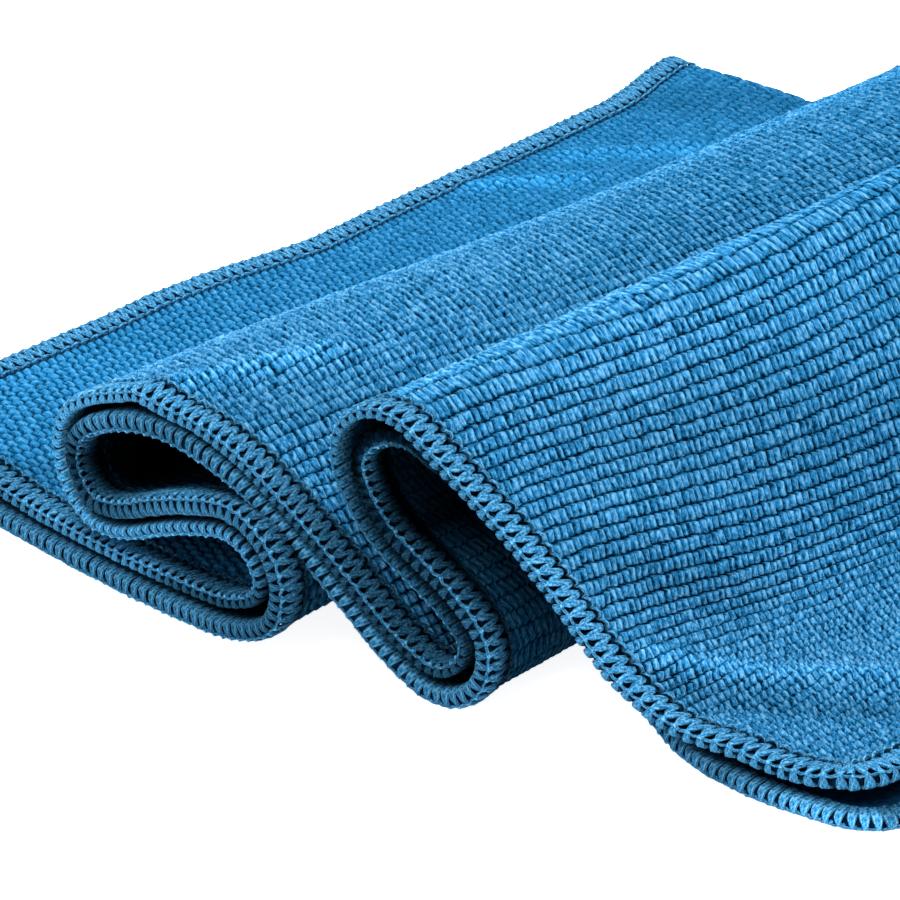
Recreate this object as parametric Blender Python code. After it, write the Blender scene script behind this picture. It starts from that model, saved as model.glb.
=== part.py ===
"""Knitted microfibre cloth, folded in half and pushed into two leaning folds.

The cloth is one square sheet.  It is doubled along a plain fold at the back, so
an upper and a lower ply lie together, and the doubled strip is pushed up into
two folds that lean over towards the left.  Its right end comes down and lies
flat on the surface.

X runs along the front edge, Y along the knitted ribs away from it, +Z is up.
The origin is on the surface, under the middle of the laid cloth.  The sizes
below are measured from the strip's left front corner, which FOOTPRINT_MIDDLE
ties to the origin.
"""
import math

import bmesh
import bpy
import numpy as np

MM = 0.001

# The cut sheet, in millimetres.
PLY_THICKNESS = 2.3
PLY_GAP = 1.2
STRIP_DEPTH = 195.5           # front edge to the start of the round back fold
CORNER_RADIUS = 8.0
STRIP_START = (-0.4, 2.9)     # x and z of the strip's middle at its left end
FOOTPRINT_MIDDLE = (92.1, 108.6)

# The strip's middle line along the front edge: a run of arcs.  Each row turns
# the line by `turn` degrees (anticlockwise is positive) over `length` mm.  At
# the row's end, `setback` is how far the front edge lies back in Y, `spread`
# how much wider than PLY_GAP the two plies stand, and `lead` how far the lower
# ply's edge comes out in front of the upper one's.
SECTIONS = (
    # name,      length, turn, setback, spread, lead
    ("flat",       42.2,    0,     0.0,    0.0,  1.4),
    ("rise",       40.9,    6,     0.0,    0.3,  1.2),
    ("turn_1a",    12.0,   25,     0.0,    0.9,  0.6),
    ("turn_1b",    15.1,  119,     0.0,    0.7,  0.0),
    ("over_1",      8.2,   47,     0.0,    0.0,  0.0),
    ("back_1a",    19.0,   12,     0.0,    0.0,  0.0),
    ("back_1b",     8.6,  -20,     0.0,    0.2,  0.0),
    ("turn_2a",     4.6,  -47,     0.0,    0.3,  0.0),
    ("turn_2b",    16.4, -107,     0.0,    0.3,  0.4),
    ("crest_1",    33.3,  -54,     0.6,    0.0,  0.6),
    ("brow_1",      4.1,  -23,     1.7,    0.0,  0.4),
    ("descent_1",  26.6,  -11,     8.9,    0.2,  0.4),
    ("turn_3a",     9.0,   18,    11.6,    0.6,  0.4),
    ("turn_3b",    16.1,  158,    15.2,    0.7,  0.0),
    ("back_2a",    15.6,   22,    10.7,    0.0, -0.2),
    ("back_2b",    17.0,  -53,     7.6,    0.6, -0.6),
    ("turn_4",     12.5, -137,    11.2,    0.6, -2.4),
    ("panel_a",    16.0,    0,    16.0,    0.3, -5.0),
    ("panel_b",    21.7,  -13,    21.5,    0.2, -5.0),
    ("foot_a",     11.1,   28,    24.3,    0.3, -4.3),
    ("foot_b",     11.6,   30,    26.4,    0.3, -0.2),
    ("floor_a",    10.4,    0,    26.6,    0.4,  1.7),
    ("floor_b",    18.8,    0,    31.4,    0.4,  0.6),
)
SMOOTHING = 5.0               # window that rounds the arcs into each other
STEP = 0.25                   # spacing of the worked-out middle line
SPREAD_REACH = 45.0           # the plies close up this far in from the edge
BACK_SETBACK = 0.6            # share of the setback that is left at the back
SURFACE_Z = 0.0

# The folds sink towards the back, and a little more close to the back fold.
SINK_REACH = 140.0
SINK_SHARE = 0.19
SINK_MIDDLE = 62.0
SINK_WIDTH = 34.0

BACK_SINK_SHARE = 0.035
BACK_SINK_START = 140.0
BACK_SINK_REACH = 50.0

# The left end of the strip waves in and out, fading out along the strip.
LEFT_END = (
    # depth, shift
    (0.0, 1.0), (30.0, 2.5), (50.0, 2.5), (61.0, 1.8), (73.0, 2.5), (83.0, 4.0),
    (94.0, 5.6), (112.0, 4.7), (135.0, 3.8), (163.0, 2.7), (173.0, 2.3),
    (180.0, 0.9), (187.0, -1.3), (195.0, -3.2),
)
LEFT_END_REACH = 55.0

# The back fold runs out and in again along the strip.
BACK_LINE = (
    # along the front edge, shift
    (0.0, -0.6), (8.5, 1.0), (17.0, 2.7), (26.0, 4.0), (60.0, 4.0), (110.0, 0.0),
)

# The upper ply's right end lies this far in from the lower ply's.
RIGHT_LEAD = 4.5
RIGHT_LEAD_REACH = 60.0

# The upper ply lifts at its right front corner.
CORNER_LIFT = 2.0
CORNER_LIFT_REACH = 20.0

# The grid of the solid's faces.
MAX_CHORD = 7.5
MAX_TURN = 15.0
EDGE_BAND = 2.6               # the first row or column in from every cut edge
ROWS = (0.0, EDGE_BAND, 9.0, 22.0, 45.0, 61.0, 76.0, 94.0, 116.0, 140.0, 163.0, 175.0, 186.0)
FOLD_STEPS = 4

CLOTH_COLOUR = (0.03, 0.25, 0.62, 1.0)
CLOTH_ROUGHNESS = 0.9
SHARP_ANGLE = 50.0            # edges bent more than this are shaded sharp


def smooth(value):
    """0 below 0, 1 above 1, with an even slope between."""
    value = np.clip(value, 0.0, 1.0)
    return value * value * (3.0 - 2.0 * value)


def column(name):
    """One named column of SECTIONS as a list."""
    names = ("name", "length", "turn", "setback", "spread", "lead")
    return [row[names.index(name)] for row in SECTIONS]


def middle_line():
    """Arc length, x, z and heading of the strip's middle along its front."""
    ends = np.concatenate(([0.0], np.cumsum(column("length"))))
    headings = np.radians(np.concatenate(([0.0], np.cumsum(column("turn")))))
    arc = np.arange(0.0, ends[-1] + STEP / 2, STEP)
    heading = np.interp(arc, ends, headings)

    half = int(SMOOTHING / STEP / 2)
    window = np.hanning(2 * half + 3)[1:-1]
    padded = np.pad(heading, half, mode="edge")
    heading = np.convolve(padded, window / window.sum(), "valid")

    between = np.concatenate(([heading[0]], (heading[1:] + heading[:-1]) / 2))
    step = np.concatenate(([0.0], np.diff(arc)))
    x = STRIP_START[0] + np.cumsum(np.cos(between) * step)
    z = STRIP_START[1] + np.cumsum(np.sin(between) * step)
    return arc, x, z, heading


def stations(arc, heading):
    """Arc lengths of the grid's columns: close in the turns, wide between."""
    places = [arc[0]]
    last_heading = heading[0]
    for here, turned in zip(arc, heading):
        bent = abs(turned - last_heading) > math.radians(MAX_TURN)
        if bent or here - places[-1] > MAX_CHORD:
            places.append(here)
            last_heading = turned
    if arc[-1] - places[-1] < MAX_CHORD / 2:
        places.pop()
    ends = {EDGE_BAND, arc[-1] - EDGE_BAND, arc[-1]}
    return sorted(set(places) | ends)


def along(name, place):
    """A column of SECTIONS that changes evenly from row end to row end."""
    ends = np.concatenate(([0.0], np.cumsum(column("length"))))
    values = column(name)
    return float(np.interp(place, ends, [values[0]] + values))


def corner_inset(place, total):
    """How far the rounded corner draws the front edge in at this column."""
    from_end = min(place, total - place)
    if from_end >= CORNER_RADIUS:
        return 0.0
    across = CORNER_RADIUS - from_end
    return CORNER_RADIUS - math.sqrt(CORNER_RADIUS ** 2 - across ** 2)


def edge_inset(place, total, lower):
    """How far back this ply's front edge lies: its corner, and the ply that
    the other one leads."""
    lead = along("lead", place)
    behind = max(-lead, 0.0) if lower else max(lead, 0.0)
    return corner_inset(place, total) + behind


def end_shift(place, depth):
    """The wave of the strip's left end, fading out along the strip."""
    return float(np.interp(depth, *zip(*LEFT_END))) * float(smooth(1.0 - place / LEFT_END_REACH))


def back_shift(place, depth):
    """How far the back fold's own line draws this point back."""
    return float(np.interp(place, *zip(*BACK_LINE))) * (depth / STRIP_DEPTH) ** 2


def right_lead(place, depth, total):
    """How far the upper ply is drawn in from the right end at this point."""
    near_end = float(smooth((place - total) / RIGHT_LEAD_REACH + 1.0))
    return RIGHT_LEAD * near_end * (1.0 - float(smooth(depth / STRIP_DEPTH)))


def settle(point):
    """Sink the folds towards the back, and keep everything on the surface."""
    x, y, z = point
    near_fold = math.exp(-((x - SINK_MIDDLE) / SINK_WIDTH) ** 2)
    sink = SINK_SHARE * float(smooth(y / SINK_REACH))
    sink += BACK_SINK_SHARE * float(smooth((y - BACK_SINK_START) / BACK_SINK_REACH))
    return (x, y, max(SURFACE_Z, z * (1.0 - sink * near_fold)))


def to_frame(point):
    """From the strip's own millimetres to the part's frame in metres."""
    x, y, z = point
    return ((x - FOOTPRINT_MIDDLE[0]) * MM, (y - FOOTPRINT_MIDDLE[1]) * MM, z * MM)


def sheet_rows():
    """Rows of the sheet, from the upper front edge over the back fold to the
    lower one: depth along the strip and angle round the back fold."""
    upper = [(depth, 0.0) for depth in ROWS]
    fold = [(STRIP_DEPTH, math.pi * k / FOLD_STEPS) for k in range(FOLD_STEPS + 1)]
    lower = [(depth, math.pi) for depth in reversed(ROWS)]
    return upper + fold + lower


def sheet_point(line, place, depth, angle, side):
    """A point on one face of the sheet; side is +1 outside, -1 inside."""
    arc, *curves = line
    total = arc[-1]
    lower = angle > math.pi / 2
    edge = edge_inset(place, total, lower)
    depth = edge + depth * (STRIP_DEPTH - edge) / STRIP_DEPTH
    if not lower:
        place -= right_lead(place, depth, total)
    x, z, heading = (float(np.interp(place, arc, values)) for values in curves)
    normal_x = -math.sin(heading)
    normal_z = math.cos(heading)

    near_edge = 1.0 - float(smooth(depth / SPREAD_REACH))
    gap = PLY_GAP + along("spread", place) * near_edge
    radius = (gap + PLY_THICKNESS) / 2 + side * PLY_THICKNESS / 2
    offset = radius * math.cos(angle)
    if not lower:
        from_corner = math.hypot(total - place, depth)
        offset += CORNER_LIFT * float(smooth(1.0 - from_corner / CORNER_LIFT_REACH))

    share = 1.0 - (1.0 - BACK_SETBACK) * depth / STRIP_DEPTH
    y = depth + along("setback", place) * share + radius * math.sin(angle)
    y += back_shift(place, depth)
    x = x + normal_x * offset + end_shift(place, depth)
    z = z + normal_z * offset
    return settle((x, y, z))


def build_cloth():
    """The closed solid: outer face, inner face and the cut edge between."""
    line = middle_line()
    places = stations(line[0], line[3])
    rows = sheet_rows()

    mesh = bmesh.new()
    faces = {}
    for side in (1, -1):
        faces[side] = []
        for place in places:
            points = [sheet_point(line, place, depth, angle, side) for depth, angle in rows]
            verts = [mesh.verts.new(to_frame(point)) for point in points]
            faces[side].append(verts)

    outer, inner = faces[1], faces[-1]
    for i in range(len(places) - 1):
        for j in range(len(rows) - 1):
            quad = (outer[i][j], outer[i + 1][j], outer[i + 1][j + 1], outer[i][j + 1])
            mesh.faces.new(quad)
            quad = (inner[i][j], inner[i][j + 1], inner[i + 1][j + 1], inner[i + 1][j])
            mesh.faces.new(quad)
        for j in (0, len(rows) - 1):
            mesh.faces.new((outer[i][j], inner[i][j], inner[i + 1][j], outer[i + 1][j]))
    for i in (0, len(places) - 1):
        for j in range(len(rows) - 1):
            mesh.faces.new((outer[i][j], outer[i][j + 1], inner[i][j + 1], inner[i][j]))
    bmesh.ops.recalc_face_normals(mesh, faces=mesh.faces)
    return mesh


def cloth_material():
    material = bpy.data.materials.new("microfibre")
    material.use_nodes = True
    shader = material.node_tree.nodes["Principled BSDF"]
    shader.inputs["Base Color"].default_value = CLOTH_COLOUR
    shader.inputs["Roughness"].default_value = CLOTH_ROUGHNESS
    shader.inputs["Metallic"].default_value = 0.0
    return material


def main():
    for old in list(bpy.data.objects):
        bpy.data.objects.remove(old)
    solid = build_cloth()
    mesh = bpy.data.meshes.new("cloth")
    solid.to_mesh(mesh)
    solid.free()
    mesh.materials.append(cloth_material())
    mesh.shade_smooth()
    mesh.set_sharp_from_angle(angle=math.radians(SHARP_ANGLE))
    cloth = bpy.data.objects.new("cloth", mesh)
    bpy.context.scene.collection.objects.link(cloth)


main()
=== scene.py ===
"""The looks of a knitted microfibre cloth, folded in half and pushed into folds.

The cloth is one square sheet with a thick ribbed knit and an overlocked edge.
Positions on it are worked out in the sheet's own millimetres: u runs along the
front edge, v runs from the upper front edge over the back fold to the lower
front edge, and h is the height over the sheet's middle, positive outwards.
"""
import math

import bpy
import numpy as np
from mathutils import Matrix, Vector


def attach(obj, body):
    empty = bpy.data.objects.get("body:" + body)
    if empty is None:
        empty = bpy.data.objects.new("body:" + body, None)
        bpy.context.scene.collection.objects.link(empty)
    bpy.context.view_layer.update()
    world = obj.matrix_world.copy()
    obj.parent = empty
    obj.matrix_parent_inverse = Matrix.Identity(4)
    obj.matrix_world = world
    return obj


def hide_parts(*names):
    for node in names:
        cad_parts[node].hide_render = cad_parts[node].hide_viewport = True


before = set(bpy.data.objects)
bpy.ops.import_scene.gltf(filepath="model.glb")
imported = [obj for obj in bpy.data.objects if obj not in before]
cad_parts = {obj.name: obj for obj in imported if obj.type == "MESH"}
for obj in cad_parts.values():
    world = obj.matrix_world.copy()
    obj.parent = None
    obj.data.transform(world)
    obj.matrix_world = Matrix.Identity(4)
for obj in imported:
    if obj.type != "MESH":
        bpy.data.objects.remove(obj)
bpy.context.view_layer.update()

MM = 0.001
RANDOM = np.random.default_rng(11)

# ---- The laid shape, with the sizes of the solid it stands for (millimetres).

PLY_THICKNESS = 2.3
PLY_GAP = 1.2
STRIP_DEPTH = 195.5
CORNER_RADIUS = 8.0
STRIP_START = (-0.4, 2.9)          # x and height of the strip's left end
FOOTPRINT_MIDDLE = np.array([92.1, 108.6, 0.0])

# The strip's run along its front edge, section by section: length and turn (in
# degrees), how far the front edge is set back, how much further apart the plies
# are, and how far the lower ply's edge lies in front of the upper one's.
SECTIONS = (
    # name,      length, turn, setback, spread, lead
    ("flat",       42.2,    0,     0.0,    0.0,  1.4),
    ("rise",       40.9,    6,     0.0,    0.3,  1.2),
    ("turn_1a",    12.0,   25,     0.0,    0.9,  0.6),
    ("turn_1b",    15.1,  119,     0.0,    0.7,  0.0),
    ("over_1",      8.2,   47,     0.0,    0.0,  0.0),
    ("back_1a",    19.0,   12,     0.0,    0.0,  0.0),
    ("back_1b",     8.6,  -20,     0.0,    0.2,  0.0),
    ("turn_2a",     4.6,  -47,     0.0,    0.3,  0.0),
    ("turn_2b",    16.4, -107,     0.0,    0.3,  0.4),
    ("crest_1",    33.3,  -54,     0.6,    0.0,  0.6),
    ("brow_1",      4.1,  -23,     1.7,    0.0,  0.4),
    ("descent_1",  26.6,  -11,     8.9,    0.2,  0.4),
    ("turn_3a",     9.0,   18,    11.6,    0.6,  0.4),
    ("turn_3b",    16.1,  158,    15.2,    0.7,  0.0),
    ("back_2a",    15.6,   22,    10.7,    0.0, -0.2),
    ("back_2b",    17.0,  -53,     7.6,    0.6, -0.6),
    ("turn_4",     12.5, -137,    11.2,    0.6, -2.4),
    ("panel_a",    16.0,    0,    16.0,    0.3, -5.0),
    ("panel_b",    21.7,  -13,    21.5,    0.2, -5.0),
    ("foot_a",     11.1,   28,    24.3,    0.3, -4.3),
    ("foot_b",     11.6,   30,    26.4,    0.3, -0.2),
    ("floor_a",    10.4,    0,    26.6,    0.4,  1.7),
    ("floor_b",    18.8,    0,    31.4,    0.4,  0.6),
)
COLUMNS = ("name", "length", "turn", "setback", "spread", "lead")
SMOOTHING = 5.0
EDGE_SMOOTHING = 12.0
STEP = 0.25
SPREAD_REACH = 45.0
BACK_SETBACK = 0.6                 # the share of the setback that is left at the back

# The folds are lower further back, most of all round SINK_MIDDLE.
SINK_REACH = 140.0
SINK_SHARE = 0.19
SINK_MIDDLE = 62.0
SINK_WIDTH = 34.0
BACK_SINK_SHARE = 0.035
BACK_SINK_START = 140.0
BACK_SINK_REACH = 50.0

LEFT_END = (
    # depth, shift to the right
    (0.0, 1.0), (30.0, 2.5), (50.0, 2.5), (61.0, 1.8), (73.0, 2.5), (83.0, 4.0),
    (94.0, 5.6), (112.0, 4.7), (135.0, 3.8), (163.0, 2.7), (173.0, 2.3),
    (180.0, 0.9), (187.0, -1.3), (195.0, -3.2),
)
LEFT_END_REACH = 55.0
BACK_LINE = (
    # along the front edge, shift to the back
    (0.0, -0.6), (8.5, 1.0), (17.0, 2.7), (26.0, 4.0), (60.0, 4.0), (110.0, 0.0),
)
RIGHT_LEAD = 4.5                   # how far the upper ply falls short at the right end
RIGHT_LEAD_REACH = 60.0
CORNER_LIFT = 2.0                  # how far its corner stands off there
CORNER_LIFT_REACH = 20.0

FOLD_RADIUS = (PLY_GAP + PLY_THICKNESS) / 2
FOLD_LENGTH = math.pi * FOLD_RADIUS
SHEET_WIDTH = sum(row[1] for row in SECTIONS)
SHEET_LENGTH = 2 * STRIP_DEPTH + FOLD_LENGTH

# ---- The knit and the overlocked edge.

RIBS = 182
RIB_PITCH = SHEET_WIDTH / RIBS
STITCHES = 248
STITCH_PITCH = SHEET_LENGTH / STITCHES
PAD_COLUMNS = (0.0, 0.2, 0.8)      # where a rib's vertices lie across it
PLAIN_COLUMNS = (0.0, 0.5)         # and where the knit is plainer
PAD_ROWS = 4                       # vertices along each stitch
PAD_TOP = 1.34                     # heights over the sheet's middle
PAD_SHOULDER = 1.08
PAD_GAP = 0.24
PAD_MIDDLE = 0.95
RIB_VALLEY = 0.72
STITCH_HOLE = 0.05
WANDER_SPREAD = 0.13               # of the knit's small random shifts
PAD_LIFT_SPREAD = 0.09             # of the pads' random heights
FAR_FROM = (150.0, 50.0)           # u and v past which the folds' pads get softer
FAR_REACH = (60.0, 70.0)
FAR_SOFTER = 0.65
FLAT_PRESSED = 0.5                 # how much the flat end's pads are pressed in
PRESSED_UP_TO = 78.0
PRESSED_REACH = 20.0
# Painted shade between the pads: the valleys and holes get only this share of the colour.
VALLEY_LIGHT = 0.72                # the share of light that reaches between the pads

BAND_WIDTH = 4.45                  # the strip of cloth under the overlock
BAND_HEIGHT = 0.40
BAND_START = 0.6                   # how far before its borders its slopes begin
BAND_SLOPE = 1.0
BAND_LIP = 1.2                     # the width of the slope at the cloth's rim
# Painted shade under the overlock's threads: the light left there, more between the zigzag's arms
# and under the left end's far stitches.
BAND_LIGHT = 0.04
LOOP_LIGHT = 0.26                  # more, between the zigzag's arms
LOOP_REACH = 3.2
LOOP_SLOPE = 0.8
LEFT_BAND_LIGHT = 0.45             # more, under the left end's far stitches
LEFT_BAND_WIDTH = 8.0
LEFT_BAND_FROM = 15.0
LEFT_BAND_REACH = 30.0

CORE_TOP = 0.05
CORE_UNDER = -1.05
CORE_LIP = 0.85                    # the height along its edges
CORE_PAST_EDGE = 0.45
CORE_THIN_UP_TO = 6.0              # how far in the upper front edge is thinner
CORE_THIN_REACH = 4.0
CORE_EDGE_ROWS = (0.0, 1.0, 3.0)   # rows of vertices along a front edge
CORE_ROWS_FROM = 6.0
CORE_ROWS = 40
CORE_FOLD_ROWS = (0.2, 0.4, 0.6, 0.8)

STITCH_LENGTH = 2.08               # of the overlock, along the edge
EDGE_FACES = (1.0, -0.7)           # heights at which it is measured; the longer counts
START_SPREAD = 0.03                # of the stitches' random starts, in stitches
INWARD_SPREAD = 0.06               # of the threads' random shifts inwards and upwards
HEIGHT_SPREAD = 0.03
SIZE_SPREAD = 0.06
LOWER_NEEDLE_TOP = 1.0             # the lower ply's needle line, sunk in the knit
LOWER_NEEDLE_IN = 3.8
RIM_HEIGHT = 0.9                   # threads lower than this lie on the rim
INNER_HEIGHT = 0.6                 # and this far under the middle, on the inner face
TUBE_SQUARENESS = 0.8              # 1 makes the threads' sections ellipses

SURFACE = 0.02                     # the lowest height of any point
NORMAL_STEP = 0.15
LOOK_ALONG = 0.2                   # the step that tells which way an edge runs


def smooth(value):
    """0 below 0, 1 above 1, with a soft slope between."""
    value = np.clip(value, 0.0, 1.0)
    return value * value * (3.0 - 2.0 * value)


def read(table, at):
    """A table's second column, read between its rows."""
    return np.interp(at, *zip(*table))


def hann(values, width):
    """values, one each STEP, averaged over a window of this width."""
    half = int(width / STEP / 2)
    window = np.hanning(2 * half + 3)[1:-1]
    return np.convolve(np.pad(values, half, mode="edge"), window / window.sum(), "valid")


def column(name):
    """One column of SECTIONS."""
    at = COLUMNS.index(name)
    return [row[at] for row in SECTIONS]


SECTION_ENDS = np.concatenate(([0.0], np.cumsum(column("length"))))
ARC = np.arange(0.0, SHEET_WIDTH + STEP / 2, STEP)


def middle_line():
    """x, z and heading of the strip's middle along its front edge."""
    headings = np.radians(np.concatenate(([0.0], np.cumsum(column("turn")))))
    heading = hann(np.interp(ARC, SECTION_ENDS, headings), SMOOTHING)
    between = np.concatenate(([heading[0]], (heading[1:] + heading[:-1]) / 2))
    step = np.concatenate(([0.0], np.diff(ARC)))
    x = STRIP_START[0] + np.cumsum(np.cos(between) * step)
    z = STRIP_START[1] + np.cumsum(np.sin(between) * step)
    return x, z, heading


LINE_X, LINE_Z, LINE_HEADING = middle_line()
LEFT_SHIFT = hann(read(LEFT_END, ARC), EDGE_SMOOTHING / 2)
BACK_SHIFT = hann(read(BACK_LINE, ARC), EDGE_SMOOTHING)
EDGE_VALUES = {
    name: hann(np.interp(ARC, SECTION_ENDS, [column(name)[0]] + column(name)), EDGE_SMOOTHING)
    for name in ("setback", "spread", "lead")
}


def along(name, u):
    """A column of SECTIONS, made even, at these places along the front edge."""
    return np.interp(u, ARC, EDGE_VALUES[name])


def behind(u, lower):
    """How far this ply's front edge lies behind the other one's."""
    lead = along("lead", u)
    return np.where(lower, np.maximum(-lead, 0.0), np.maximum(lead, 0.0))


def corner_inset(u):
    """How far the rounded corners draw the front edge in."""
    across = CORNER_RADIUS - np.clip(np.minimum(u, SHEET_WIDTH - u), 0.0, CORNER_RADIUS)
    return CORNER_RADIUS - np.sqrt(CORNER_RADIUS ** 2 - across ** 2)


# Soft creases in the upper ply: where they start and end on the sheet, how
# wide they are and how high they stand.
CREASES = (
    # name,             from u, v,      to u, v,       width, height
    ("fold_ridge",      182.0,   3.0,   191.0,  30.0,   2.8,   0.9),
    ("fold_facet",      190.0,   5.0,   197.0,  26.0,   4.0,  -0.6),
    ("panel_ridge",     346.0,   8.0,   369.0,  31.0,   3.0,   1.1),
    ("panel_trough",    359.0,   8.0,   374.0,  22.0,   3.6,  -0.7),
    ("panel_hollow",    336.0,  14.0,   346.0,  34.0,   5.0,  -0.5),
    ("flat_streak_1",    11.0, 153.0,    25.0, 171.0,   1.7,   0.8),
    ("flat_streak_2",     7.0, 131.0,    20.0, 147.0,   1.9,   0.8),
    ("flat_dip",         15.0, 160.0,    36.0, 180.0,   5.0,  -0.5),
    ("flat_bump",        25.0,  10.0,    19.0,  20.0,   8.0,   1.6),
)


def soft_lines(table, u, v):
    """The sum of a table's soft lines at these places on the sheet."""
    total = np.zeros(np.broadcast(u, v).shape)
    for _, u0, v0, u1, v1, width, amount in table:
        along_u, along_v = u1 - u0, v1 - v0
        length = math.hypot(along_u, along_v)
        run = ((u - u0) * along_u + (v - v0) * along_v) / length
        off = ((u - u0) * along_v - (v - v0) * along_u) / length
        past = np.maximum(np.maximum(-run, run - length), 0.0)
        total = total + amount * np.exp(-(off / width) ** 2 - (past / (2 * width)) ** 2)
    return total


def lay(u, v):
    """The sheet's middle surface as it lies; u and v may run past the edges."""
    angle = np.clip((v - STRIP_DEPTH) / FOLD_RADIUS, 0.0, math.pi)
    lower = angle > math.pi / 2
    depth = np.where(lower, SHEET_LENGTH - v, v)
    depth = np.minimum(depth, STRIP_DEPTH)
    short = RIGHT_LEAD * smooth((u - SHEET_WIDTH) / RIGHT_LEAD_REACH + 1.0)
    short = short * (1.0 - smooth(depth / STRIP_DEPTH))

    u = u - np.where(lower, 0.0, short)
    inside = np.clip(u, 0.0, SHEET_WIDTH)
    x = np.interp(inside, ARC, LINE_X)
    z = np.interp(inside, ARC, LINE_Z)
    heading = np.interp(inside, ARC, LINE_HEADING)
    x = x + (u - inside) * np.cos(heading)
    z = z + (u - inside) * np.sin(heading)

    near_edge = 1.0 - smooth(depth / SPREAD_REACH)
    radius = (PLY_GAP + along("spread", u) * near_edge + PLY_THICKNESS) / 2
    offset = radius * np.cos(angle)
    from_corner = np.hypot(SHEET_WIDTH - u, depth)
    lift = CORNER_LIFT * smooth(1.0 - from_corner / CORNER_LIFT_REACH)
    offset = offset + np.where(lower, 0.0, lift)
    offset = offset + np.where(lower, 0.0, soft_lines(CREASES, u, depth))

    shift = np.interp(depth, ARC, LEFT_SHIFT) * smooth(1.0 - u / LEFT_END_REACH)
    share = 1.0 - (1.0 - BACK_SETBACK) * depth / STRIP_DEPTH
    y = depth + along("setback", u) * share + radius * np.sin(angle)
    y = y + np.interp(u, ARC, BACK_SHIFT) * (depth / STRIP_DEPTH) ** 2
    x = x - np.sin(heading) * offset + shift
    z = z + np.cos(heading) * offset
    near_fold = np.exp(-((x - SINK_MIDDLE) / SINK_WIDTH) ** 2)
    sink = SINK_SHARE * smooth(y / SINK_REACH)
    sink = sink + BACK_SINK_SHARE * smooth((y - BACK_SINK_START) / BACK_SINK_REACH)
    z = z * (1.0 - sink * near_fold)
    return np.stack([x, y, z], axis=-1)


# Places that lie deep between the folds, and how much painted shade darkens them.
HOLLOWS = (
    # name,          lower, from u, to u,  soft ends, depth, darkness
    ("pocket",       False, 106.0, 150.0,  14.0,       4.0,  0.96),
    ("pocket_floor", False,  60.0,  84.0,   8.0,       5.0,  0.15),
    ("tunnel",       False, 240.0, 283.0,  10.0,      16.0,  0.88),
    ("first_back",   True,   80.0, 106.0,   8.0,       5.0,  0.85),
    ("first_loop",   True,  118.0, 238.0,  18.0,       7.0,  0.94),
    ("first_turn",   True,  146.0, 172.0,   6.0,       2.8,  0.75),
    ("second_back",  True,  240.0, 268.0,  10.0,       3.0,  0.84),
    ("second_loop",  True,  273.0, 330.0,   9.0,       2.8,  0.97),
)


def painted_hollow_light(u, v):
    """1 in the open, less deep between the folds: the painted shade of the hollows."""
    lower = v > SHEET_LENGTH / 2
    depth = np.where(lower, SHEET_LENGTH - v, v)
    light = np.ones(np.broadcast(u, v).shape)
    for _, on_lower, first, last, soft, reach, darkness in HOLLOWS:
        within = smooth((u - first) / soft + 1.0) * smooth((last - u) / soft + 1.0)
        deep = smooth(depth / reach) * (lower == on_lower)
        light = light * (1.0 - darkness * within * deep)
    return light


def surface_frame(u, v):
    """Position and outward normal of the sheet's middle."""
    du = lay(u + NORMAL_STEP, v) - lay(u - NORMAL_STEP, v)
    dv = lay(u, v + NORMAL_STEP) - lay(u, v - NORMAL_STEP)
    normal = np.cross(du, dv)
    normal /= np.linalg.norm(normal, axis=-1, keepdims=True)
    return lay(u, v), normal


def raised(u, v, h):
    """A point h above the sheet's middle, kept on the surface below."""
    position, normal = surface_frame(u, v)
    point = position + normal * h[..., None]
    point[..., 2] = np.maximum(point[..., 2], SURFACE)
    return point


def squeezed(u, v):
    """v moved so that 0 and SHEET_LENGTH lie on the true front edges."""
    lower = v > SHEET_LENGTH / 2
    edge = corner_inset(u) + behind(u, lower)
    depth = np.where(lower, SHEET_LENGTH - v, v)
    depth = np.where(depth < STRIP_DEPTH, edge + depth * (STRIP_DEPTH - edge) / STRIP_DEPTH, depth)
    return np.where(lower, SHEET_LENGTH - depth, depth)


# Lines of painted highlight and painted shade, where the light catches the crests and creases or
# misses them.
PAINTED_GLEAMS = (
    # name,            from u, v,      to u, v,       width, light
    ("first_crest",     168.5,   6.0,   169.0, 196.0,  4.0,   0.36),
    ("second_crest",    294.5,   3.0,   295.0, 196.0,  2.4,   0.42),
    ("panel_top",       303.0,  30.0,   306.0, 130.0,  6.0,   0.12),
    ("fold_ridge",      183.0,   3.0,   190.5,  27.0,  2.0,   0.40),
    ("fold_facet",      194.0,   6.0,   203.0,  26.0,  6.0,  -0.24),
    ("far_face",        196.0,  60.0,   200.0, 196.0,  9.0,  -0.10),
    ("panel_middle",    316.0,  36.0,   334.0,  84.0, 11.0,  -0.18),
    ("panel_foot",      330.0,  14.0,   338.0,  24.0,  6.0,  -0.20),
    ("panel_ridge",     345.0,   8.0,   371.0,  31.0,  2.2,   0.34),
    ("panel_trough",    354.0,   7.0,   380.0,  25.0,  3.2,  -0.26),
    ("flat_streak_1",    11.0, 151.0,    25.0, 167.0,  2.4,   0.50),
    ("flat_streak_2",     7.0, 131.0,    17.0, 142.0,  2.4,   0.54),
    ("flat_far_corner",  14.0, 184.0,    22.0, 190.0,  7.0,  -0.22),
    ("flat_shade",       35.0,   5.0,    46.0,  24.0,  6.0,  -0.34),
    ("flat_front",        4.0,  18.0,    12.0,  34.0,  8.0,   0.14),
)


def painted_gleam(u, v):
    """The factor of painted highlight and painted shade at these places on the upper ply."""
    return 1.0 + soft_lines(PAINTED_GLEAMS, u, v)


def edge_distance(u, v):
    """How far a place on the sheet is from the sheet's nearest edge."""
    lower = v > SHEET_LENGTH / 2
    depth = np.where(lower, SHEET_LENGTH - v, v) - behind(u, lower)
    side = np.minimum(u, SHEET_WIDTH - u)
    corner = CORNER_RADIUS - np.hypot(CORNER_RADIUS - side, CORNER_RADIUS - depth)
    in_corner = (side < CORNER_RADIUS) & (depth < CORNER_RADIUS)
    return np.where(in_corner, corner, np.minimum(side, depth))


# ---- Mesh helpers.

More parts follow.
